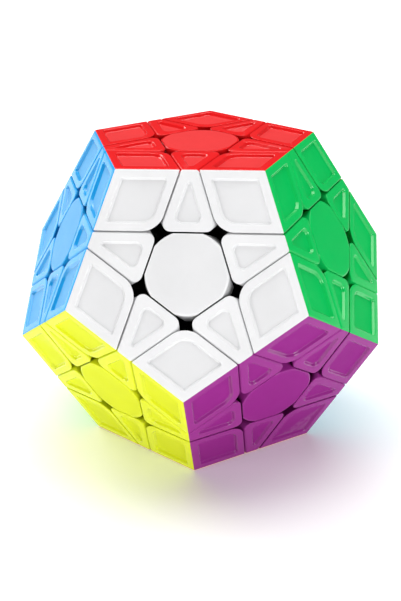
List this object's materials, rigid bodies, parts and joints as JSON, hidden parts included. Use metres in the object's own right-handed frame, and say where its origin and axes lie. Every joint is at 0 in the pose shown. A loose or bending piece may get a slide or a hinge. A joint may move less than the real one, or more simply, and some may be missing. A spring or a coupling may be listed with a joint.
{
  "type": "dodecahedron twisty puzzle",
  "caption": "Dodecahedral face-turning puzzle with sculpted sunken panels; layers of corner and edge pieces turn round screwed, sprung centres on a ball core.",
  "frame": {"origin": "middle of the core, where the twelve turning axes meet", "axes": "+Z out of the red face, -Z out of the orange face that it rests on, -Y on the side of the white face, right-handed"},
  "size_m": [0.0786, 0.0826, 0.0668],
  "materials": {
    "white_plastic": "glossy moulded plastic with satin panels",
    "red_plastic": "glossy moulded plastic with satin panels",
    "blue_plastic": "glossy moulded plastic with satin panels",
    "green_plastic": "glossy moulded plastic with satin panels",
    "yellow_plastic": "glossy moulded plastic with satin panels",
    "purple_plastic": "glossy moulded plastic with satin panels",
    "orange_plastic": "glossy moulded plastic with satin panels",
    "grey_plastic": "glossy moulded plastic with satin panels",
    "lime_plastic": "glossy moulded plastic with satin panels",
    "pink_plastic": "glossy moulded plastic with satin panels",
    "cream_plastic": "glossy moulded plastic with satin panels",
    "light_blue_plastic": "glossy moulded plastic with satin panels",
    "dark_plastic": "satin moulded plastic",
    "steel": "bright plated"
  },
  "bodies": {
    "core_and_other_layers": {"core_with_fixed_centres": "dark_plastic", "corner_cream_grey_pink": "cream_plastic", "corner_cream_light_blue_grey": "cream_plastic", "corner_pink_grey_lime": "pink_plastic", "corner_red_cream_pink": "red_plastic", "corner_white_yellow_purple": "white_plastic", "edge_cream_grey": "cream_plastic", "edge_cream_light_blue": "cream_plastic", "edge_cream_pink": "cream_plastic", "edge_grey_lime": "grey_plastic", "edge_light_blue_grey": "light_blue_plastic", "edge_lime_yellow": "lime_plastic", "edge_pink_grey": "pink_plastic", "edge_pink_lime": "pink_plastic", "edge_purple_light_blue": "purple_plastic", "edge_purple_yellow": "purple_plastic", "edge_red_cream": "red_plastic", "edge_red_pink": "red_plastic", "edge_red_white": "red_plastic", "edge_white_purple": "white_plastic", "edge_white_yellow": "white_plastic", "screw_and_spring_blue": "steel", "screw_and_spring_green": "steel", "screw_and_spring_orange": "steel"},
    "orange_layer": {"cap_orange": "orange_plastic", "centre_cup_orange": "dark_plastic", "corner_grey_orange_lime": "grey_plastic", "corner_light_blue_orange_grey": "light_blue_plastic", "corner_lime_orange_yellow": "lime_plastic", "corner_purple_orange_light_blue": "purple_plastic", "corner_purple_yellow_orange": "purple_plastic", "edge_grey_orange": "grey_plastic", "edge_light_blue_orange": "light_blue_plastic", "edge_lime_orange": "lime_plastic", "edge_purple_orange": "purple_plastic", "edge_yellow_orange": "yellow_plastic"},
    "blue_layer": {"centre_cup_blue": "dark_plastic", "corner_blue_lime_yellow": "blue_plastic", "corner_pink_lime_blue": "pink_plastic", "corner_red_blue_white": "red_plastic", "corner_red_pink_blue": "red_plastic", "corner_white_blue_yellow": "white_plastic", "edge_blue_lime": "blue_plastic", "edge_blue_yellow": "blue_plastic", "edge_pink_blue": "pink_plastic", "edge_red_blue": "red_plastic", "edge_white_blue": "white_plastic"},
    "green_layer": {"centre_cup_green": "dark_plastic", "corner_green_light_blue_cream": "green_plastic", "corner_green_purple_light_blue": "green_plastic", "corner_red_green_cream": "red_plastic", "corner_red_white_green": "red_plastic", "corner_white_purple_green": "white_plastic", "edge_green_cream": "green_plastic", "edge_green_light_blue": "green_plastic", "edge_green_purple": "green_plastic", "edge_red_green": "red_plastic", "edge_white_green": "white_plastic"},
    "blue_cap": {"cap_blue": "blue_plastic"},
    "green_cap": {"cap_green": "green_plastic"}
  },
  "joints": [
    {"name": "orange_layer_turn", "type": "hinge", "parent": "core_and_other_layers", "child": "orange_layer", "pos_m": [0, 0, 0], "axis": [0, 0, -1], "continuous": true},
    {"name": "blue_layer_turn", "type": "hinge", "parent": "core_and_other_layers", "child": "blue_layer", "pos_m": [0, 0, 0], "axis": [-0.8507, -0.2764, 0.4472], "continuous": true},
    {"name": "green_layer_turn", "type": "hinge", "parent": "core_and_other_layers", "child": "green_layer", "pos_m": [0, 0, 0], "axis": [0.8507, -0.2764, 0.4472], "continuous": true},
    {"name": "blue_cap_pull", "type": "slide", "parent": "blue_layer", "child": "blue_cap", "axis": [-0.8507, -0.2764, 0.4472], "range_m": [0, 0.006]},
    {"name": "green_cap_pull", "type": "slide", "parent": "green_layer", "child": "green_cap", "axis": [0.8507, -0.2764, 0.4472], "range_m": [0, 0.006]}
  ]
}
